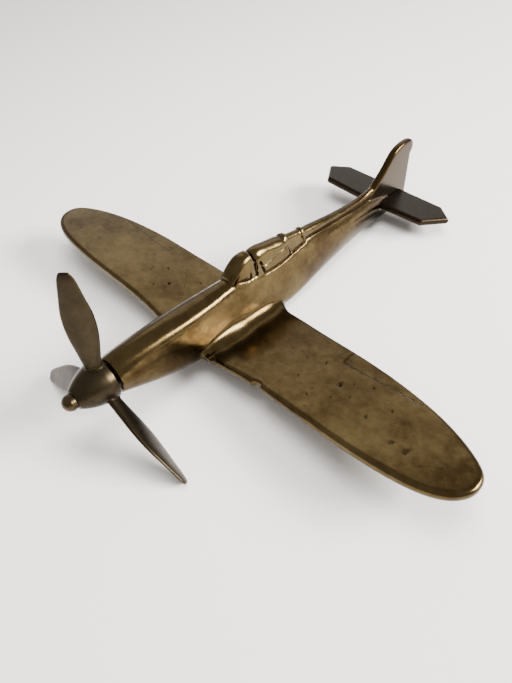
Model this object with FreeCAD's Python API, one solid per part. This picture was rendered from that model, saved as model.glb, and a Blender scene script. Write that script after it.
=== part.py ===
import FreeCAD, Part
import math
import os
from FreeCAD import Placement, Rotation, Vector

# A desk model of a low-wing, single-engined fighter aeroplane in cast brass.
# The airframe is one casting. The tailplane is a second, flat casting let into its tail.
# The propeller, spinner and three blades in one casting, turns on a domed pin in the nose.
#
# The pieces are drawn with the aeroplane level: +X to port, +Y aft, +Z up, and the origin
# on the centre line at mid height of the wing root. stand() then tips every piece nose up
# onto the table, where it rests on two blade tips and its tail.
# All lengths are millimetres and all angles degrees.

# --- cutting and measuring ----------------------------------------------------------------
CUT_DEPTH = 20.0             # how far a cutting box reaches beyond the face it cuts
FLAT_EDGE = 0.01             # an edge with less extent than this lies flat
FINENESS = 0.02              # how closely a shape is followed when it is measured

# --- stance -------------------------------------------------------------------------------
NOSE_UP = 7.27               # the airframe's tilt when it stands

# --- wing ---------------------------------------------------------------------------------
WINGSPAN = 150.0
HALF_SPAN = WINGSPAN / 2
DIHEDRAL = 5.0
WING_THICKNESS = 2.6
WING_EDGE_RADIUS = 1.1
ROOT_LEADING_Y = -14.2
ROOT_TRAILING_Y = 20.5
AILERON_Y = 7.5              # front line of the engraved aileron
AILERON_RIBS = (34.8, 43.4, 56.0)
ENGRAVING_WIDTH = 0.5
ENGRAVING_DEPTH = 0.3
AILERON_STEP = 0.15          # how far the aileron's surface lies below the wing's
AILERON_CUT_CHORD = 9.0      # long enough to run off the wing's trailing edge
AILERON_CUT_HEIGHT = 1.0

# --- hollow fairing between fuselage and wing ---------------------------------------------------
FAIRING_WIDTH = 5.5
FAIRING_HEIGHT = 4.4
FAIRING_INNER_X = 5.1
FAIRING_FOOT_Z = 2.1
FAIRING_FRONT_Y = -13.2
FAIRING_BACK_Y = 17.5
FAIRING_END_SETBACK = 2.0
FAIRING_SQUARENESS = 4.5
FAIRING_STEPS = 7

# --- fuselage -----------------------------------------------------------------------------------
# Each cross-section is (y, half width, z of the widest line, bottom, top, shoulder x,
# shoulder z, bulge). Below the widest line it is a squarish half oval. Above it each side is a
# nearly flat panel that leans in to the shoulder's crease, and a shallow roof joins the two.
FUSELAGE = (
    (-37.5, 4.3, 6.2, 1.8, 10.6, 2.95, 9.3, 0.55),
    (-33.0, 4.7, 5.0, 0.7, 11.5, 3.1, 10.2, 0.55),
    (-27.0, 5.2, 3.5, -0.9, 12.3, 3.5, 10.75, 0.5),
    (-18.5, 5.8, 1.8, -2.2, 12.9, 3.72, 11.4, 0.45),
    (-9.0, 6.1, 1.0, -2.5, 13.3, 3.47, 12.1, 0.45),
    (2.0, 6.2, 1.0, -2.5, 14.2, 2.8, 13.0, 0.5),
    (13.0, 6.1, 1.2, -2.4, 13.9, 3.1, 12.9, 0.5),
    (24.0, 5.9, 2.0, -1.8, 14.4, 2.75, 13.5, 0.6),
    (36.0, 5.0, 4.9, 0.3, 15.6, 1.75, 14.9, 0.7),
    (50.0, 4.0, 7.7, 3.0, 15.6, 1.35, 15.1, 0.7),
    (65.0, 3.0, 9.4, 4.8, 15.6, 1.15, 15.1, 0.6),
    (78.0, 2.2, 9.8, 5.6, 13.2, 1.3, 12.4, 0.25),
    (87.2, 1.2, 9.8, 7.6, 12.0, 0.8, 11.4, 0.1),
)
SIDE_SHARES = (0.0, 0.25, 0.5, 0.75, 0.93)      # ways up the side panel, waist to shoulder
ROOF_SHARES = (0.86, 0.6, 0.3)                  # ways out along the roof, centre to shoulder
BELLY_SQUARENESS = 2.4
BELLY_STEPS = 8
OVAL_POINTS = 20

# --- canopy and spine -------------------------------------------------------------------------
# Each cross-section is (y, half width, z of the widest line, bottom, top, squareness).
WINDSCREEN = (
    (0.9, 2.3, 12.2, 9.0, 14.9, 2.6),
    (2.4, 2.75, 12.5, 9.0, 17.1, 2.9),
    (4.8, 2.95, 12.8, 9.0, 19.1, 3.1),
    (8.2, 3.0, 12.8, 9.0, 19.6, 2.9),
)
TUB = (
    (8.0, 3.1, 12.0, 9.4, 17.8, 2.3),
    (22.0, 2.9, 12.0, 9.4, 17.4, 2.3),
)
HOOD = (
    (9.2, 2.6, 15.0, 13.6, 19.3, 2.2),
    (10.6, 2.95, 15.1, 13.8, 19.8, 2.2),
    (14.6, 2.95, 15.4, 14.1, 19.7, 2.2),
    (18.4, 2.8, 15.9, 14.7, 19.3, 2.2),
    (21.6, 2.5, 16.4, 15.2, 18.7, 2.2),
)
REAR_HOOD = (
    (21.0, 2.3, 12.5, 9.7, 18.7, 2.2),
    (30.0, 2.0, 12.5, 9.7, 17.9, 2.2),
)
SPINE = (
    (29.5, 1.75, 15.8, 13.4, 17.6, 2.1),
    (42.0, 1.5, 15.8, 13.6, 17.05, 2.1),
    (55.0, 1.35, 15.8, 13.8, 16.8, 2.1),
    (66.0, 1.2, 16.2, 13.8, 18.6, 2.1),
)
# Each frame is a raised hoop: (y of its front, length, half width, top)
CANOPY_FRAMES = (
    (7.2, 1.2, 3.25, 19.95),
    (21.6, 1.3, 2.75, 19.35),
    (29.3, 1.1, 2.3, 18.3),
)
FRAME_WAIST = 12.5
FRAME_FOOT = 8.4                      # all of the canopy is rooted inside the fuselage
FRAME_SQUARENESS = 2.4

# --- fin --------------------------------------------------------------------------------------
FIN_THICKNESS = 2.6
FIN_EDGE_SHARE = 0.36                 # radius of its rounded edges, as a share of the thickness
FIN_ROUNDED_HEIGHT = 6.0              # the edges are rounded from this far below the top
FIN_LEADING = ((60.0, 13.5), (64.6, 17.2), (68.2, 20.6), (71.6, 24.3), (74.6, 27.7), (78.6, 29.4))
FIN_TOP = ((81.8, 29.8), (85.0, 29.0), (85.8, 26.9), (85.0, 25.0))
FIN_TRAILING_FOOT = (87.2, 9.6)
FIN_FOOT_FRONT = (62.0, 9.6)

# --- tailplane ----------------------------------------------------------------------------------
TAILPLANE_Z = 11.6
TAILPLANE_THICKNESS = 2.2
TAILPLANE_BEVEL = 0.55
TAILPLANE_HALF = ((0.0, 69.0), (19.2, 70.0), (24.7, 78.5), (19.2, 83.6), (0.0, 83.6))
TAILPLANE_OFFSET = -1.6               # it is let in a little off centre and not quite level
TAILPLANE_TILT = 3.0

# --- nose, pin and propeller ----------------------------------------------------------------------
NOSE = Vector(0, -36.2, 6.3)          # centre of the nose's flat front
PIN_YAW = 5.5                         # the pin's hole is drilled a little askew
PIN_RADIUS = 0.9
PIN_DEPTH = 9.0                       # how far the pin is driven into the nose
PIN_HEAD_RADIUS = 2.0
PIN_HEAD_HEIGHT = 2.6
PIN_HEAD_RIM = 1.0                    # the straight part of the head's side
PIN_HEAD_OVERLAP = 0.2                # how far the shank runs into the head
RUNNING_CLEARANCE = 0.05              # between the pin and the propeller's bore
END_PLAY = 0.12                       # left on each side of the propeller
WASHER_RADIUS = 2.7
WASHER_THICKNESS = 0.8
SPINNER_LENGTH = 8.9
SPINNER_BASE_RADIUS = 5.4
SPINNER_SHOULDER_RADIUS = 4.9
SPINNER_FRONT_RADIUS = 2.35
SPINNER_STRAIGHT = 1.6                # the straight part of its side, from the back
SPINNER_SHOULDER_SETBACK = 4.0        # from its back to the shoulder
BLADE_COUNT = 3
BLADE_AXIS_SETBACK = 2.1              # from the spinner's back to the blades' own axis
# Each blade station: (radius from the pin, width, thickness, pitch)
BLADE = (
    (2.5, 3.4, 2.4, 56),
    (6.0, 3.9, 2.1, 54),
    (10.0, 5.1, 1.9, 50),
    (14.5, 6.5, 1.7, 47),
    (18.5, 6.9, 1.5, 44),
    (22.5, 6.1, 1.3, 41),
    (26.5, 4.6, 1.1, 39),
    (29.2, 3.3, 0.9, 38),
    (30.3, 2.1, 0.6, 38),
)
BLADE_SQUARENESS = 2.3

# --- belly, filed flat where the casting's feed was cut off ---------------------------------------
BELLY_FLAT_Z = -2.3
BELLY_FLAT_Y = 2.0
BELLY_CUT_FRONT_Y = -60.0
BELLY_CUT_LENGTH = 160.0
TABLE_CUT_START = -100.0              # the box that levels the tail's foot starts here, x and y
TABLE_CUT_WIDTH = 200.0
TABLE_CUT_LENGTH = 300.0


def closed_curve(points):
    """A smooth closed wire through points."""
    curve = Part.BSplineCurve()
    curve.interpolate(Points=points, PeriodicFlag=True)
    return Part.Wire(curve.toShape())


def oval_points(half_width, half_height, squareness):
    """Points round a superellipse: squareness 2 is an ellipse, and more squares its corners."""
    points = []
    for step in range(OVAL_POINTS):
        angle = 2 * math.pi * step / OVAL_POINTS
        across, up = math.cos(angle), math.sin(angle)
        x = math.copysign(half_width * abs(across) ** (2 / squareness), across)
        z = math.copysign(half_height * abs(up) ** (2 / squareness), up)
        points.append((x, z))
    return points


def oval(y, half_width, waist, bottom, top, squareness):
    """One cross-section of the body, standing across the centre line, widest at its waist."""
    ring = oval_points(half_width, 1, squareness)
    return closed_curve([Vector(x, y, waist + z * (top - waist if z > 0 else waist - bottom))
                         for x, z in ring])


def body(stations):
    """A smooth solid through the cross-sections."""
    return Part.makeLoft([oval(*station) for station in stations], True, False)


def hull(y, half_width, waist, bottom, top, shoulder_x, shoulder_z, bulge):
    """One cross-section of the fuselage, from the port waist over the roof and round below."""
    port = []
    for t in SIDE_SHARES:
        x = half_width + (shoulder_x - half_width) * t + 4 * bulge * t * (1 - t)
        port.append((x, waist + (shoulder_z - waist) * t))
    for u in ROOF_SHARES:
        port.append((shoulder_x * u, top - (top - shoulder_z) * u * u))
    starboard = [(-x, z) for x, z in reversed(port)]
    below = []
    for step in range(1, BELLY_STEPS):
        angle = math.pi * (1 + step / BELLY_STEPS)
        across, down = math.cos(angle), -math.sin(angle)
        x = math.copysign(half_width * abs(across) ** (2 / BELLY_SQUARENESS), across)
        below.append((x, waist - (waist - bottom) * down ** (2 / BELLY_SQUARENESS)))
    ring = port + [(0.0, top)] + starboard + below
    return closed_curve([Vector(x, y, z) for x, z in ring])


def spline(points):
    """An open smooth edge through (x, y) or (y, z) points given as vectors."""
    curve = Part.BSplineCurve()
    curve.interpolate(Points=points)
    return curve.toShape()


def line(start, end):
    return Part.LineSegment(start, end).toShape()


def box(x, y, z, length, width, height):
    return Part.makeBox(length, width, height, Vector(x, y, z))


def mirrored(shape):
    """The shape's twin on the starboard side."""
    return shape.mirror(Vector(0, 0, 0), Vector(1, 0, 0))


def one_solid(shape):
    """The single solid that a boolean left, freed of its compound."""
    solids = shape.Solids
    if len(solids) != 1:
        raise ValueError(f"expected one solid, found {len(solids)}")
    return solids[0]


def wing_half():
    """The port wing: a flat plate with an elliptical tip, rounded edges and an engraved aileron."""
    leading = [Vector(x, y, 0) for x, y in (
        (0, ROOT_LEADING_Y), (10, -13.2), (22, -12.2), (36, -12.4), (50, -12.8), (60, -12.4),
        (67, -11.2), (71.8, -8.9), (74.3, -5.9), (HALF_SPAN, -2.8))]
    trailing = [Vector(x, y, 0) for x, y in (
        (HALF_SPAN, -2.8), (74.3, 0.0), (71.3, 2.9), (66, 6.0), (59, 8.7), (49.5, 11.0),
        (39, 12.6), (27, 13.6), (16, 14.6), (10.5, 15.4), (7.4, 17.0), (5.4, ROOT_TRAILING_Y))]
    corner = Vector(0, ROOT_TRAILING_Y, 0)
    outline = Part.Wire([spline(leading), spline(trailing), line(trailing[-1], corner),
                         line(corner, leading[0])])
    plate = Part.Face(outline).extrude(Vector(0, 0, WING_THICKNESS))
    plate.translate(Vector(0, 0, -WING_THICKNESS / 2))
    rims = [edge for edge in plate.Edges
            if edge.BoundBox.ZLength < FLAT_EDGE and edge.BoundBox.XLength > HALF_SPAN / 2]
    plate = plate.makeFillet(WING_EDGE_RADIUS, rims)

    top = WING_THICKNESS / 2
    aileron_end = AILERON_RIBS[-1]
    engraving = [box(AILERON_RIBS[0], AILERON_Y, top - ENGRAVING_DEPTH,
                     aileron_end - AILERON_RIBS[0], ENGRAVING_WIDTH, AILERON_CUT_HEIGHT)]
    for x in AILERON_RIBS:
        engraving.append(box(x, AILERON_Y, top - ENGRAVING_DEPTH, ENGRAVING_WIDTH,
                             AILERON_CUT_CHORD, AILERON_CUT_HEIGHT))
    engraving.append(box(AILERON_RIBS[0], AILERON_Y, top - AILERON_STEP,
                         aileron_end - AILERON_RIBS[0], AILERON_CUT_CHORD, AILERON_CUT_HEIGHT))
    plate = plate.cut(Part.makeCompound(engraving))
    plate.rotate(Vector(0, 0, 0), Vector(0, 1, 0), -DIHEDRAL)
    return plate


def root_fairing():
    """The hollow curve that carries the fuselage's side out into the wing's top."""
    rings = []
    for step in range(FAIRING_STEPS + 1):
        turn = math.radians(90 * step / FAIRING_STEPS)
        half_width = FAIRING_INNER_X + FAIRING_WIDTH * (1 - math.sin(turn))
        z = FAIRING_FOOT_Z + FAIRING_HEIGHT * (1 - math.cos(turn))
        shrink = FAIRING_END_SETBACK * math.sin(turn)
        half_length = (FAIRING_BACK_Y - FAIRING_FRONT_Y) / 2 - shrink
        middle = (FAIRING_BACK_Y + FAIRING_FRONT_Y) / 2
        ring = oval_points(half_width, half_length, FAIRING_SQUARENESS)
        rings.append(closed_curve([Vector(x, middle + y, z) for x, y in ring]))
    return Part.makeLoft(rings, True, True)


def fin():
    """The upright tail fin, with a round-ended top that overhangs its trailing edge."""
    leading = [Vector(0, y, z) for y, z in FIN_LEADING]
    top = [leading[-1]] + [Vector(0, y, z) for y, z in FIN_TOP]
    foot_back = Vector(0, *FIN_TRAILING_FOOT)
    foot_front = Vector(0, *FIN_FOOT_FRONT)
    outline = Part.Wire([spline(leading + top[1:]), line(top[-1], foot_back),
                         line(foot_back, foot_front), line(foot_front, leading[0])])
    plate = Part.Face(outline).extrude(Vector(FIN_THICKNESS, 0, 0))
    plate.translate(Vector(-FIN_THICKNESS / 2, 0, 0))
    rounded_from = FIN_LEADING[-1][1] - FIN_ROUNDED_HEIGHT
    rims = [edge for edge in plate.Edges
            if edge.BoundBox.XLength < FLAT_EDGE and edge.BoundBox.ZMax > rounded_from]
    return plate.makeFillet(FIN_THICKNESS * FIN_EDGE_SHARE, rims)


def canopy():
    """Windscreen, sliding hood and its frames, and the spine behind them."""
    pieces = [body(WINDSCREEN), body(TUB), body(HOOD), body(REAR_HOOD), body(SPINE)]
    for y, length, half_width, top in CANOPY_FRAMES:
        hoop = (half_width, FRAME_WAIST, FRAME_FOOT, top, FRAME_SQUARENESS)
        pieces.append(body(((y, *hoop), (y + length, *hoop))))
    return pieces


def on_pin(shape):
    """Turn a piece drawn along the pin, with its origin on the nose's face, to its real place."""
    shape.Placement = Placement(NOSE, Rotation(Vector(0, 0, 1), PIN_YAW)).multiply(shape.Placement)
    return shape


def airframe_casting():
    shape = Part.makeLoft([hull(*station) for station in FUSELAGE], True, False)
    for piece in [wing_half(), mirrored(wing_half()), root_fairing(), fin()] + canopy():
        shape = shape.fuse(piece)
    shape = shape.cut(tailplane())
    shape = shape.cut(box(-CUT_DEPTH, BELLY_CUT_FRONT_Y, BELLY_FLAT_Z - CUT_DEPTH,
                          2 * CUT_DEPTH, BELLY_CUT_LENGTH, CUT_DEPTH))
    shape = shape.cut(on_pin(box(-CUT_DEPTH / 2, -CUT_DEPTH, -CUT_DEPTH / 2,
                                 CUT_DEPTH, CUT_DEPTH, CUT_DEPTH)))
    hole = Part.makeCylinder(PIN_RADIUS, PIN_DEPTH, Vector(0, 0, 0), Vector(0, 1, 0))
    return one_solid(shape.cut(on_pin(hole)))


def tailplane():
    """A flat plate with clipped tips and bevelled edges, from tip to tip through the tail."""
    port = [Vector(x, y, TAILPLANE_Z - TAILPLANE_THICKNESS / 2) for x, y in TAILPLANE_HALF]
    starboard = [Vector(-point.x, point.y, point.z) for point in reversed(port[1:-1])]
    outline = Part.makePolygon(port + starboard + [port[0]])
    plate = Part.Face(outline).extrude(Vector(0, 0, TAILPLANE_THICKNESS))
    rims = [edge for edge in plate.Edges if edge.BoundBox.ZLength < FLAT_EDGE]
    plate = plate.makeChamfer(TAILPLANE_BEVEL, rims)
    plate.translate(Vector(TAILPLANE_OFFSET, 0, 0))
    plate.rotate(Vector(0, 0, TAILPLANE_Z), Vector(0, 1, 0), TAILPLANE_TILT)
    return one_solid(plate)


SPINNER_BACK = END_PLAY + WASHER_THICKNESS + END_PLAY      # ahead of the nose
SPINNER_FRONT = SPINNER_BACK + SPINNER_LENGTH
HEAD_BACK = SPINNER_FRONT + END_PLAY


def spinner():
    """A round-shouldered cone with a small flat front."""
    base_back = Vector(SPINNER_BASE_RADIUS, -SPINNER_BACK, 0)
    base_front = Vector(SPINNER_BASE_RADIUS, -SPINNER_BACK - SPINNER_STRAIGHT, 0)
    shoulder = Vector(SPINNER_SHOULDER_RADIUS, -SPINNER_BACK - SPINNER_SHOULDER_SETBACK, 0)
    front = Vector(SPINNER_FRONT_RADIUS, -SPINNER_FRONT, 0)
    axis_front = Vector(0, -SPINNER_FRONT, 0)
    axis_back = Vector(0, -SPINNER_BACK, 0)
    nose_curve = Part.Arc(base_front, shoulder, front).toShape()
    profile = Part.Wire([line(base_back, base_front), nose_curve, line(front, axis_front),
                         line(axis_front, axis_back), line(axis_back, base_back)])
    return Part.Face(profile).revolve(Vector(0, 0, 0), Vector(0, 1, 0), 360)


def blade():
    """One upright blade, twisted like a screw: its front face turns to port."""
    rings = []
    for radius, width, thickness, pitch in BLADE:
        along = Vector(math.cos(math.radians(pitch)), math.sin(math.radians(pitch)), 0)
        through = Vector(along.y, -along.x, 0)
        ring = oval_points(width / 2, thickness / 2, BLADE_SQUARENESS)
        rings.append(closed_curve([along * a + through * t + Vector(0, 0, radius) for a, t in ring]))
    shape = Part.makeLoft(rings, True, False)
    shape.translate(Vector(0, -SPINNER_BACK - BLADE_AXIS_SETBACK, 0))
    return shape


def propeller():
    """Spinner and blades, turned on the pin so that the two lower tips are level on the table."""
    tip_up = math.tan(math.radians(NOSE_UP))
    level_turn = math.degrees(math.atan(math.sin(math.radians(PIN_YAW)) * tip_up))
    blades = []
    for number in range(BLADE_COUNT):
        turned = blade()
        turned.rotate(Vector(0, 0, 0), Vector(0, 1, 0), -level_turn - number * 360 / BLADE_COUNT)
        blades.append(turned)
    shape = spinner().fuse(blades)
    bore = Part.makeCylinder(PIN_RADIUS + RUNNING_CLEARANCE, 2 * CUT_DEPTH,
                             Vector(0, CUT_DEPTH, 0), Vector(0, -1, 0))
    return on_pin(one_solid(shape.cut(bore)))


def propeller_pin():
    """A domed head on a plain shank that is driven into the nose."""
    shank = Part.makeCylinder(PIN_RADIUS, PIN_DEPTH + HEAD_BACK + PIN_HEAD_OVERLAP,
                              Vector(0, PIN_DEPTH, 0), Vector(0, -1, 0))
    rim = HEAD_BACK + PIN_HEAD_RIM
    tip = HEAD_BACK + PIN_HEAD_HEIGHT
    corner = Vector(PIN_HEAD_RADIUS, -rim, 0)
    dome_height = tip - rim
    dome_radius = (PIN_HEAD_RADIUS ** 2 + dome_height ** 2) / (2 * dome_height)
    half_turn = math.asin(min(1.0, PIN_HEAD_RADIUS / dome_radius)) / 2
    crown = Vector(dome_radius * math.sin(half_turn),
                   -(tip - dome_radius + dome_radius * math.cos(half_turn)), 0)
    top = Vector(0, -tip, 0)
    back_edge = Vector(PIN_HEAD_RADIUS, -HEAD_BACK, 0)
    back_centre = Vector(0, -HEAD_BACK, 0)
    profile = Part.Wire([line(back_centre, back_edge), line(back_edge, corner),
                         Part.Arc(corner, crown, top).toShape(), line(top, back_centre)])
    head = Part.Face(profile).revolve(Vector(0, 0, 0), Vector(0, 1, 0), 360)
    return on_pin(one_solid(head.fuse(shank)))


def thrust_washer():
    """A loose ring on the pin that keeps the spinner off the nose."""
    start = Vector(0, -END_PLAY, 0)
    disc = Part.makeCylinder(WASHER_RADIUS, WASHER_THICKNESS, start, Vector(0, -1, 0))
    hole = Part.makeCylinder(PIN_RADIUS + RUNNING_CLEARANCE, WASHER_THICKNESS, start, Vector(0, -1, 0))
    return on_pin(one_solid(disc.cut(hole)))


def lowest(shape):
    """The z of the shape's lowest point."""
    points, _ = shape.tessellate(FINENESS)
    return min(point.z for point in points)


def span_y(shapes):
    points = [point.y for shape in shapes for point in shape.tessellate(FINENESS)[0]]
    return min(points), max(points)


def stand(pieces):
    """Tip the aeroplane nose up, set it on the table, and centre it on the origin."""
    tip_up = Placement(Vector(0, 0, 0), Rotation(Vector(1, 0, 0), -NOSE_UP))
    for shape in pieces.values():
        shape.Placement = tip_up.multiply(shape.Placement)
    table = lowest(pieces["propeller"])
    tail = lowest(pieces["airframe_casting"])
    print(f"blade tips at {table:.3f}, tail at {tail:.3f}")
    below = box(TABLE_CUT_START, TABLE_CUT_START, table - CUT_DEPTH,
                TABLE_CUT_WIDTH, TABLE_CUT_LENGTH, CUT_DEPTH)
    pieces["airframe_casting"] = one_solid(pieces["airframe_casting"].cut(below))
    front, back = span_y(pieces.values())
    to_table = Placement(Vector(0, -(front + back) / 2, -table), Rotation())
    for shape in pieces.values():
        shape.Placement = to_table.multiply(shape.Placement)
    return to_table.multiply(tip_up)


def main():
    pieces = {
        "airframe_casting": airframe_casting(),
        "tailplane": tailplane(),
        "propeller": propeller(),
        "propeller_pin": propeller_pin(),
        "thrust_washer": thrust_washer(),
    }
    placed = stand(pieces)
    turned = placed.Rotation
    pin_forward = Vector(math.sin(math.radians(PIN_YAW)), -math.cos(math.radians(PIN_YAW)), 0)
    print("nose", placed.multVec(NOSE), "pin forward", turned.multVec(pin_forward))
    print("belly flat", placed.multVec(Vector(0, BELLY_FLAT_Y, BELLY_FLAT_Z)),
          "faces", turned.multVec(Vector(0, 0, -1)))
    print("level origin", placed.Base)
    os.makedirs("parts", exist_ok=True)
    for name, shape in pieces.items():
        shape.exportStep(f"parts/{name}.step")
        limits = shape.BoundBox
        print(f"{name}: valid {shape.isValid()}, {shape.Volume:.1f} mm3, "
              f"x {limits.XMin:.1f}..{limits.XMax:.1f}, y {limits.YMin:.1f}..{limits.YMax:.1f}, "
              f"z {limits.ZMin:.1f}..{limits.ZMax:.1f}")


main()
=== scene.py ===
import math

import bpy
import numpy as np
from mathutils import Matrix, Vector, noise


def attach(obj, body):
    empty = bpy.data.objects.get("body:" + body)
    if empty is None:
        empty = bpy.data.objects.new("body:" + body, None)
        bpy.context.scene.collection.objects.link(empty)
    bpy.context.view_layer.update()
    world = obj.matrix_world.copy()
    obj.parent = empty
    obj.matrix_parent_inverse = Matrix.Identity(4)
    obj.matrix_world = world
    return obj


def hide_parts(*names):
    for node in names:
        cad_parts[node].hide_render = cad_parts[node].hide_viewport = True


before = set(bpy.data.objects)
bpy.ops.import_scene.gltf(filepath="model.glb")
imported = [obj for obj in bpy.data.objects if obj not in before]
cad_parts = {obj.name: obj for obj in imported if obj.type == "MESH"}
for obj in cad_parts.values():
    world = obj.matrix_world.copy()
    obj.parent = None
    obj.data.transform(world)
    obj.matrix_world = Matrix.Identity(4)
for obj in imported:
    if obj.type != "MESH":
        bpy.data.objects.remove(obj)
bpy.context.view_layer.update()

# ---- Camera -------------------------------------------------------------------------------
# A phone held above the port bow, close in, which is why the nose looks large and the tail
# small. The aim is a point on the port wing's root.
AIM = Vector((0.01130, -0.01961, 0.00451))
CAMERA_DISTANCE = 0.12948
CAMERA_AZIMUTH = 49.154
CAMERA_ELEVATION = 48.429
CAMERA_ROLL = -6.390
SENSOR = 36
LENS = 25.30

camera_data = bpy.data.cameras.new("camera")
camera_data.sensor_width = SENSOR
camera_data.lens = LENS
camera_data.clip_start = 0.005
camera = bpy.data.objects.new("camera", camera_data)
bpy.context.scene.collection.objects.link(camera)
camera.matrix_world = (
    Matrix.Translation(AIM)
    @ Matrix.Rotation(math.radians(CAMERA_AZIMUTH), 4, "Z")
    @ Matrix.Rotation(math.radians(90 - CAMERA_ELEVATION), 4, "X")
    @ Matrix.Rotation(math.radians(CAMERA_ROLL), 4, "Z")
    @ Matrix.Translation((0, 0, CAMERA_DISTANCE))
)
bpy.context.scene.camera = camera

# ---- Airframe -----------------------------------------------------------------------------
# One brass casting: fuselage, wings, fin, canopy and spine. It was sand cast, filed and
# polished by hand, so every join runs into the next in a hollow curve and no edge is sharp.
# Decades of handling have browned it, least where hands and cloths rub.
MILLIMETRE = 0.001
MERGE_DISTANCE = 1e-6
NO_LENGTH = 1e-12             # keeps an edge of no length from dividing by zero
VOXEL = 0.00026
SMOOTHING = 5
ROOT_SMOOTHING = 100
KEPT_FACES = 0.4
HOLLOW_SPREAD = 4             # rounds of averaging a vertex with its neighbours
HOLLOW_SHARE = 0.6            # how much the neighbours count in each round
NOSE_UP = math.radians(7.27)
LEVEL_ORIGIN = Vector((0, -0.020452, 0.004621))
DIHEDRAL = math.radians(5.0)


def select_only(piece):
    """Deselect everything, then select this piece and make it the active one."""
    if bpy.context.object and bpy.context.object.mode == "EDIT":
        bpy.ops.object.mode_set(mode="OBJECT")
    bpy.ops.object.select_all(action="DESELECT")
    piece.select_set(True)
    bpy.context.view_layer.objects.active = piece


def merged_copy(node, name):
    """A copy of a CAD node whose loose triangles are joined into one skin."""
    select_only(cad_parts[node])
    bpy.ops.object.duplicate()
    piece = bpy.context.object
    piece.name = name
    piece.data.name = name
    piece.data.materials.clear()
    bpy.ops.object.mode_set(mode="EDIT")
    bpy.ops.mesh.select_all(action="SELECT")
    bpy.ops.mesh.remove_doubles(threshold=MERGE_DISTANCE)
    bpy.ops.object.mode_set(mode="OBJECT")
    return piece


def modify(piece, kind, **settings):
    """Add a modifier with these settings and apply it."""
    select_only(piece)
    modifier = piece.modifiers.new(kind.lower(), kind)
    for setting, value in settings.items():
        setattr(modifier, setting, value)
    bpy.ops.object.modifier_apply(modifier=modifier.name)


def level(point):
    """A point of the standing model, in millimetres with the aeroplane level."""
    turned = Matrix.Rotation(NOSE_UP, 3, "X") @ (point - LEVEL_ORIGIN)
    return turned / MILLIMETRE


def hollows(piece, name):
    """Store at each vertex how hollow (above 0) or crested (below 0) the surface is there."""
    mesh = piece.data
    count = len(mesh.vertices)
    places = np.empty(count * 3)
    mesh.vertices.foreach_get("co", places)
    places = places.reshape(-1, 3)
    normals = np.empty(count * 3)
    mesh.vertices.foreach_get("normal", normals)
    normals = normals.reshape(-1, 3)
    ends = np.empty(len(mesh.edges) * 2, dtype=np.int64)
    mesh.edges.foreach_get("vertices", ends)
    one, other = ends.reshape(-1, 2).T
    away = places[other] - places[one]
    away /= np.linalg.norm(away, axis=1)[:, None] + NO_LENGTH
    total = (np.bincount(one, (away * normals[one]).sum(1), count)
             - np.bincount(other, (away * normals[other]).sum(1), count))
    share = np.bincount(one, minlength=count) + np.bincount(other, minlength=count)
    hollow = total / np.maximum(share, 1)
    for _ in range(HOLLOW_SPREAD):
        near = np.bincount(one, hollow[other], count) + np.bincount(other, hollow[one], count)
        hollow = (1 - HOLLOW_SHARE) * hollow + HOLLOW_SHARE * near / np.maximum(share, 1)
    mesh.attributes.new(name, "FLOAT", "POINT").data.foreach_set("value", hollow)


airframe = merged_copy("airframe_casting", "airframe")
modify(airframe, "REMESH", mode="VOXEL", voxel_size=VOXEL, adaptivity=0)
modify(airframe, "SMOOTH", factor=0.5, iterations=SMOOTHING)

# The wing roots were scraped to a hollow curve that has no edge where it starts or ends. Each
# stretch is where it starts, its fade in, where it ends and its fade out, in level millimetres.
ROOT_ACROSS = (4.4, 1.0, 13.0, 2.5)
ROOT_ALONG = (-16.0, 2.5, 21.0, 2.0)
ROOT_ABOVE = (0.5, 1.0, 9.0, 2.5)


def within(value, start, fade_in, end, fade_out):
    """1 inside a stretch, 0 at its two ends, and less than 0 outside it."""
    return min(1, (value - start) / fade_in, (end - value) / fade_out)


root_curve = airframe.vertex_groups.new(name="root_curve")
for vertex in airframe.data.vertices:
    place = level(vertex.co)
    weight = min(within(abs(place.x), *ROOT_ACROSS), within(place.y, *ROOT_ALONG),
                 within(place.z, *ROOT_ABOVE))
    if weight > 0:
        root_curve.add([vertex.index], weight, "REPLACE")
modify(airframe, "SMOOTH", factor=0.5, iterations=ROOT_SMOOTHING, vertex_group="root_curve")
airframe.vertex_groups.clear()

# A dent was knocked into the port wing's front edge, and the metal at its root froze rough.
# Pinholes broke through where the polishing cut deepest, and each is (x, y, radius). Places
# and sizes are level millimetres.
DENT_Y = -12.3
DENT_ENDS = (22.2, 25.4)
DENT_DEPTH = 0.9
DENT_REACH = 2.0              # how far back from the edge the dent fades out
DENT_RAMPS = (3, 8)           # it deepens gently from its inner end and stops sharply outboard
ROUGH_PLACE = Vector((8.6, -13.4, 1.6))
ROUGH_RADIUS = 2.6
ROUGH_DEPTH = 0.35
ROUGH_LUMP = 0.625            # the size of its lumps
UNEVEN_WAVE = 11.0            # between the swells that hand filing left
UNEVEN_DEPTH = 0.05
PINHOLE_FLATNESS = 0.8        # a pinhole's depth, as a share of its radius
WING_START = 12.0             # no pinholes nearer to the centre line than this
PINHOLES = ((38.9, 0.7, 0.55), (32.0, 4.4, 0.3), (45.5, 4.9, 0.3), (49.0, -3.5, 0.34),
            (57.0, -5.6, 0.3), (60.2, -6.2, 0.36), (29.5, -3.2, 0.28), (35.2, -6.8, 0.3),
            (43.0, -1.2, 0.26), (52.4, 1.6, 0.3), (27.0, 3.1, 0.26), (41.2, 3.3, 0.24),
            (-22.0, -2.2, 0.5), (-27.5, 2.0, 0.36), (-18.0, 0.4, 0.3), (-31.0, -1.0, 0.3),
            (-16.0, 5.0, 0.32), (-24.5, -6.0, 0.28), (-36.0, 3.0, 0.26))
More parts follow.
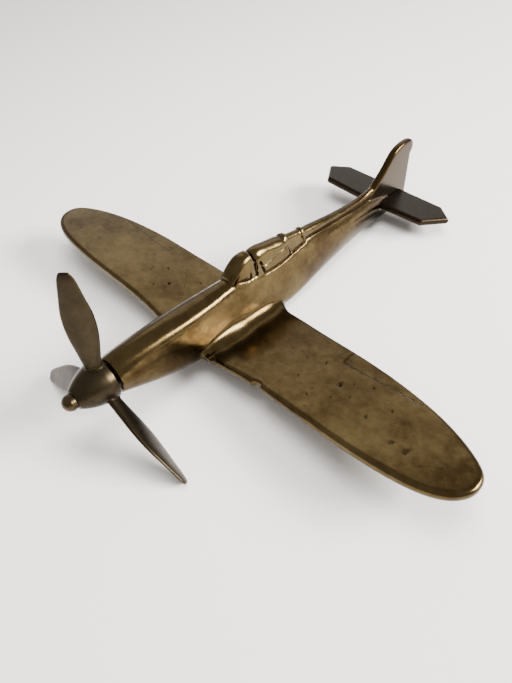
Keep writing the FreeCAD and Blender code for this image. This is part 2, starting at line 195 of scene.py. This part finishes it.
# Lines cut by hand with a graver on both sides, as paths of (y, z): round the cockpit door,
# under the hood, round the rear window, from the windscreen's foot up the front of the hood,
# and along the spine. Only the surface inside the three reaches is cut.
GRAVER_WIDTH = 0.8
GRAVER_DEPTH = 0.5
GRAVED_X = (0.6, 4.6)
GRAVED_Y = (2.5, 64.0)
GRAVED_Z = (12.0, 18.0)
GRAVED_LINES = (
    ((10.7, 16.6), (11.5, 14.9), (12.6, 12.55), (15.9, 12.6), (19.5, 12.8), (23.8, 13.5),
     (22.9, 15.6), (22.4, 16.6)),
    ((11.3, 15.0), (13.0, 14.8), (17.1, 15.6), (21.4, 16.4)),
    ((24.6, 13.6), (30.2, 14.35), (29.2, 16.3)),
    ((3.0, 13.7), (6.2, 13.0), (9.4, 13.1), (9.3, 17.6)),
    ((31.0, 15.1), (44.0, 15.1), (56.0, 15.2), (63.5, 15.5)),
)


def nearest(point, path):
    """How far a point is from a path of straight runs."""
    best = math.inf
    for start, end in zip(path, path[1:]):
        start, end = Vector(start), Vector(end)
        run = end - start
        share = max(0.0, min(1.0, (point - start).dot(run) / run.length_squared))
        best = min(best, (point - start - run * share).length)
    return best


normals = [vertex.normal.copy() for vertex in airframe.data.vertices]
for vertex, normal in zip(airframe.data.vertices, normals):
    place = level(vertex.co)
    inward = UNEVEN_DEPTH * noise.noise(place / UNEVEN_WAVE)
    if abs(place.x) > WING_START and place.z > abs(place.x) * math.tan(DIHEDRAL):
        for x, y, radius in PINHOLES:
            reach = math.hypot(place.x - x, place.y - y) / radius
            if reach < 1:
                inward += PINHOLE_FLATNESS * radius * (1 - reach * reach)
    if (GRAVED_Y[0] < place.y < GRAVED_Y[1] and GRAVED_Z[0] < place.z < GRAVED_Z[1]
            and GRAVED_X[0] < abs(place.x) < GRAVED_X[1]):
        gap = min(nearest(place.yz, path) for path in GRAVED_LINES) * 2 / GRAVER_WIDTH
        inward += GRAVER_DEPTH * max(0.0, 1 - gap * gap)
    rough = 1 - (place - ROUGH_PLACE).length / ROUGH_RADIUS
    if rough > 0:
        inward += ROUGH_DEPTH * min(1, 2 * rough) * noise.noise(place / ROUGH_LUMP)
    vertex.co -= normal * inward * MILLIMETRE
    if DENT_ENDS[0] < place.x < DENT_ENDS[1] and place.y < DENT_Y + DENT_REACH:
        along = (place.x - DENT_ENDS[0]) / (DENT_ENDS[1] - DENT_ENDS[0])
        depth = DENT_DEPTH * min(1, DENT_RAMPS[0] * along) * min(1, DENT_RAMPS[1] * (1 - along))
        fade = 1 - max(0.0, place.y - DENT_Y) / DENT_REACH
        vertex.co.y += depth * fade * MILLIMETRE
modify(airframe, "DECIMATE", ratio=KEPT_FACES)
hollows(airframe, "hollow")


def linear(hex_colour):
    """An sRGB hex colour as the linear RGBA that a socket takes."""
    channels = [int(hex_colour[start:start + 2], 16) / 255 for start in (1, 3, 5)]
    return [c / 12.92 if c <= 0.04045 else ((c + 0.055) / 1.055) ** 2.4 for c in channels] + [1]


def add_node(tree, kind, settings, links):
    """Add a node, set its properties and sockets, and link its sockets to other outputs."""
    node = tree.nodes.new(kind)
    for name, value in settings.items():
        if isinstance(name, int) or name in node.inputs:
            node.inputs[name].default_value = value
        else:
            setattr(node, name, value)
    for name, output in links.items():
        tree.links.new(output, node.inputs[name])
    return node


# The patterns' sizes in millimetres: clouds of patina, mottling inside them, the grain left
# by polishing, and the spacing of the specks. The grain is drawn coarse enough to show.
CLOUD = 14.286
MOTTLE = 2.381
GRAIN = 0.4167
SPECK_SPACING = 3.0303
PER_METRE = 1000


def cast_brass(name, bright, brown, dirt_and_shade, brown_share, roughness):
    """Hand-polished cast brass under a brown patina.

    bright and brown are the colours of the metal and of its patina. The third colour is that of
    the specks, and of the hollows, where it is dirt and also painted shade. brown_share is how
    much of the metal is browned.
    """
    material = bpy.data.materials.new(name)
    material.use_nodes = True
    tree = material.node_tree
    shader = tree.nodes["Principled BSDF"]
    place = add_node(tree, "ShaderNodeTexCoord", {}, {}).outputs["Object"]
    clouds = add_node(tree, "ShaderNodeTexNoise",
                      {"Scale": PER_METRE / CLOUD, "Detail": 4, "Roughness": 0.6},
                      {"Vector": place}).outputs["Fac"]
    mottle = add_node(tree, "ShaderNodeTexNoise",
                      {"Scale": PER_METRE / MOTTLE, "Detail": 6, "Roughness": 0.7},
                      {"Vector": place}).outputs["Fac"]
    grain = add_node(tree, "ShaderNodeTexNoise",
                     {"Scale": PER_METRE / GRAIN, "Detail": 3, "Roughness": 0.7},
                     {"Vector": place}).outputs["Fac"]
    both = add_node(tree, "ShaderNodeMath", {"operation": "MULTIPLY_ADD", 1: 0.45},
                    {0: mottle, 2: clouds}).outputs[0]
    # The tail was rubbed the least, so it browns between 15 and 55 mm behind the origin.
    along = add_node(tree, "ShaderNodeSeparateXYZ", {}, {0: place}).outputs["Y"]
    aft = add_node(tree, "ShaderNodeMapRange",
                   {"From Min": 0.015, "From Max": 0.055, "To Min": 0, "To Max": 0.3},
                   {"Value": along}).outputs[0]
    both = add_node(tree, "ShaderNodeMath", {"operation": "ADD"}, {0: both, 1: aft}).outputs[0]
    tarnish = add_node(tree, "ShaderNodeMapRange",
                       {"From Min": 0.5, "From Max": 0.95, "To Min": brown_share - 0.6,
                        "To Max": brown_share + 0.6}, {"Value": both}).outputs[0]
    colour = add_node(tree, "ShaderNodeMix",
                      {"data_type": "RGBA", 6: linear(bright), 7: linear(brown)},
                      {0: tarnish}).outputs[2]
    # Polish and handling keep the crests bright. The hollows are darkened, partly for the dirt in
    # them and partly as painted shade.
    hollow = add_node(tree, "ShaderNodeAttribute", {"attribute_name": "hollow"}, {}).outputs["Fac"]
    rubbed = add_node(tree, "ShaderNodeMapRange",
                      {"From Min": -0.04, "From Max": -0.16, "To Min": 0, "To Max": 0.6},
                      {"Value": hollow}).outputs[0]
    polished = add_node(tree, "ShaderNodeMix", {"data_type": "RGBA", 7: linear(bright)},
                        {0: rubbed, 6: colour}).outputs[2]
    # Painted shade: the hollows are darkened as if shade lay in them, together with the dirt
    # there.
    shade_and_dirt_in_hollows = add_node(tree, "ShaderNodeMapRange",
                      {"From Min": 0.02, "From Max": 0.09, "To Min": 0, "To Max": 0.92},
                      {"Value": hollow}).outputs[0]
    # Specks up to 0.8 mm wide, where the mottling is thickest.
    speck = add_node(tree, "ShaderNodeTexVoronoi",
                     {"Scale": PER_METRE / SPECK_SPACING, "Randomness": 1.0},
                     {"Vector": place}).outputs["Distance"]
    spot = add_node(tree, "ShaderNodeMapRange",
                    {"From Min": 0.06, "From Max": 0.13, "To Min": 0.8, "To Max": 0},
                    {"Value": speck}).outputs[0]
    crowded = add_node(tree, "ShaderNodeMapRange",
                       {"From Min": 0.50, "From Max": 0.60, "To Min": 0, "To Max": 1},
                       {"Value": mottle}).outputs[0]
    specks = add_node(tree, "ShaderNodeMath", {"operation": "MULTIPLY"},
                      {0: spot, 1: crowded}).outputs[0]
    # The specks and the painted shade in the hollows are joined here. Both darken the colour and
    # roughen the surface.
    specks_dirt_and_shade = add_node(tree, "ShaderNodeMath", {"operation": "MAXIMUM"},
                    {0: specks, 1: shade_and_dirt_in_hollows}).outputs[0]
    with_dirt_and_shade = add_node(tree, "ShaderNodeMix", {"data_type": "RGBA", 7: linear(dirt_and_shade)},
                     {0: specks_dirt_and_shade, 6: polished}).outputs[2]
    tree.links.new(with_dirt_and_shade, shader.inputs["Base Color"])
    rough = add_node(tree, "ShaderNodeMapRange",
                     {"From Min": 0.3, "From Max": 0.8, "To Min": roughness - 0.05,
                      "To Max": roughness + 0.14}, {"Value": mottle}).outputs[0]
    rougher = add_node(tree, "ShaderNodeMath", {"operation": "MULTIPLY_ADD", 1: 0.35},
                       {0: specks_dirt_and_shade, 2: rough}).outputs[0]
    tree.links.new(rougher, shader.inputs["Roughness"])
    shader.inputs["Metallic"].default_value = 1.0
    waves = add_node(tree, "ShaderNodeBump", {"Strength": 0.3, "Distance": 0.00006},
                     {"Height": mottle}).outputs[0]
    fine = add_node(tree, "ShaderNodeBump", {"Strength": 0.25, "Distance": 0.00001},
                    {"Height": grain, "Normal": waves}).outputs[0]
    sunk = add_node(tree, "ShaderNodeBump",
                    {"Strength": 0.6, "Distance": 0.00004, "invert": True},
                    {"Height": specks, "Normal": fine}).outputs[0]
    tree.links.new(sunk, shader.inputs["Normal"])
    return material


# Hand-polished cast brass gives a warm, clouded mirror with soft-edged highlights. Its base
# colours are those of the patina, and are darker than clean brass.
aged_brass = cast_brass("hand_polished_cast_brass", bright="#5a4d32", brown="#392c19",
                        dirt_and_shade="#120c06", brown_share=0.5, roughness=0.17)
airframe.data.materials.append(aged_brass)
select_only(airframe)
bpy.ops.object.shade_smooth()
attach(airframe, "airframe")
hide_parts("airframe_casting")

# ---- Tailplane ----------------------------------------------------------------------------
# A flat casting with clipped tips and bevelled edges, soldered into a slot in the tail. It
# was never polished as bright as the airframe.
TAILPLANE_VOXEL = 0.00025
TAILPLANE_SMOOTHING = 4
tailplane = merged_copy("tailplane", "tailplane_plate")
modify(tailplane, "REMESH", mode="VOXEL", voxel_size=TAILPLANE_VOXEL, adaptivity=0)
modify(tailplane, "SMOOTH", factor=0.5, iterations=TAILPLANE_SMOOTHING)
hollows(tailplane, "hollow")
# Tarnished cast brass is nearly grey-brown and satin, with only a dull, wide sheen.
dark_brass = cast_brass("tarnished_cast_brass", bright="#3a3325", brown="#282018",
                        dirt_and_shade="#0d0905", brown_share=0.5, roughness=0.30)
tailplane.data.materials.append(dark_brass)
select_only(tailplane)
bpy.ops.object.shade_smooth()
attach(tailplane, "airframe")
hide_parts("tailplane")

# ---- Propeller ----------------------------------------------------------------------------
# Spinner and three blades in one casting, filed by hand and left duller than the airframe.
PROPELLER_VOXEL = 0.0002
propeller = merged_copy("propeller", "propeller_casting")
modify(propeller, "REMESH", mode="VOXEL", voxel_size=PROPELLER_VOXEL, adaptivity=0)
modify(propeller, "SMOOTH", factor=0.5, iterations=SMOOTHING)
hollows(propeller, "hollow")
propeller.data.materials.append(dark_brass)
select_only(propeller)
bpy.ops.object.shade_smooth()
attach(propeller, "propeller")
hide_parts("propeller")

# ---- Pin and washer -----------------------------------------------------------------------
# A domed brass pin driven into the nose, and a thin ring on it behind the spinner. Both were
# turned on a lathe, so their CAD meshes are kept and only get a material. Turned brass is
# smoother than a casting and shows a small, clear highlight on the dome.
pin_brass = cast_brass("turned_brass", bright="#4f4532", brown="#33291b",
                       dirt_and_shade="#0d0905", brown_share=0.4, roughness=0.22)
for name in ("propeller_pin", "thrust_washer"):
    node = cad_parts[name]
    node.data.materials.clear()
    node.data.materials.append(pin_brass)

# ---- Floor --------------------------------------------------------------------------------
# A plain pale matt surface at table height, large enough to have no edge in view.
FLOOR_SIZE = 6
bpy.ops.mesh.primitive_plane_add(size=FLOOR_SIZE, location=(0, 0, 0))
floor = bpy.context.object
floor.name = "floor"
floor_paint = bpy.data.materials.new("pale_floor")
floor_paint.use_nodes = True
floor_shader = floor_paint.node_tree.nodes["Principled BSDF"]
floor_shader.inputs["Base Color"].default_value = linear("#e9e7e5")
floor_shader.inputs["Roughness"].default_value = 0.9
floor_shader.inputs["Specular IOR Level"].default_value = 0.1
floor.data.materials.append(floor_paint)

# ---- Light --------------------------------------------------------------------------------
# A large window behind the port wing makes the highlights on the shoulder and wing root, and
# a pale wall behind the tail is what the wings mirror. The ceiling light brightens the floor
# round the model, and is kept out of the metal's reflections.


def soft_light(name, direction, distance, width, height, power, colour):
    """A rectangular soft box that faces the model."""
    data = bpy.data.lights.new(name, "AREA")
    data.shape = "RECTANGLE"
    data.size = width
    data.size_y = height
    data.energy = power
    data.color = colour
    lamp = bpy.data.objects.new(name, data)
    bpy.context.scene.collection.objects.link(lamp)
    towards = Vector(direction).normalized()
    lamp.matrix_world = (Matrix.Translation(towards * distance)
                         @ towards.to_track_quat("Z", "Y").to_matrix().to_4x4())


soft_light("window", direction=(0.696, 0.544, 0.469), distance=0.9, width=0.42, height=0.28,
           power=32.0, colour=(1.0, 0.98, 0.93))
soft_light("pale_wall", direction=(-0.5, 0.6, 0.6), distance=0.6, width=0.6, height=0.34,
           power=0.8, colour=(1.0, 0.98, 0.95))
soft_light("ceiling", direction=(0.05, 0.05, 1.0), distance=0.30, width=0.2, height=0.2,
           power=1.4, colour=(1.0, 0.98, 0.98))
bpy.data.objects["ceiling"].visible_glossy = False
world = bpy.data.worlds.new("studio")
bpy.context.scene.world = world
world.use_nodes = True
background = world.node_tree.nodes["Background"]
background.inputs["Color"].default_value = linear("#e4e0dc")
background.inputs["Strength"].default_value = 1.0
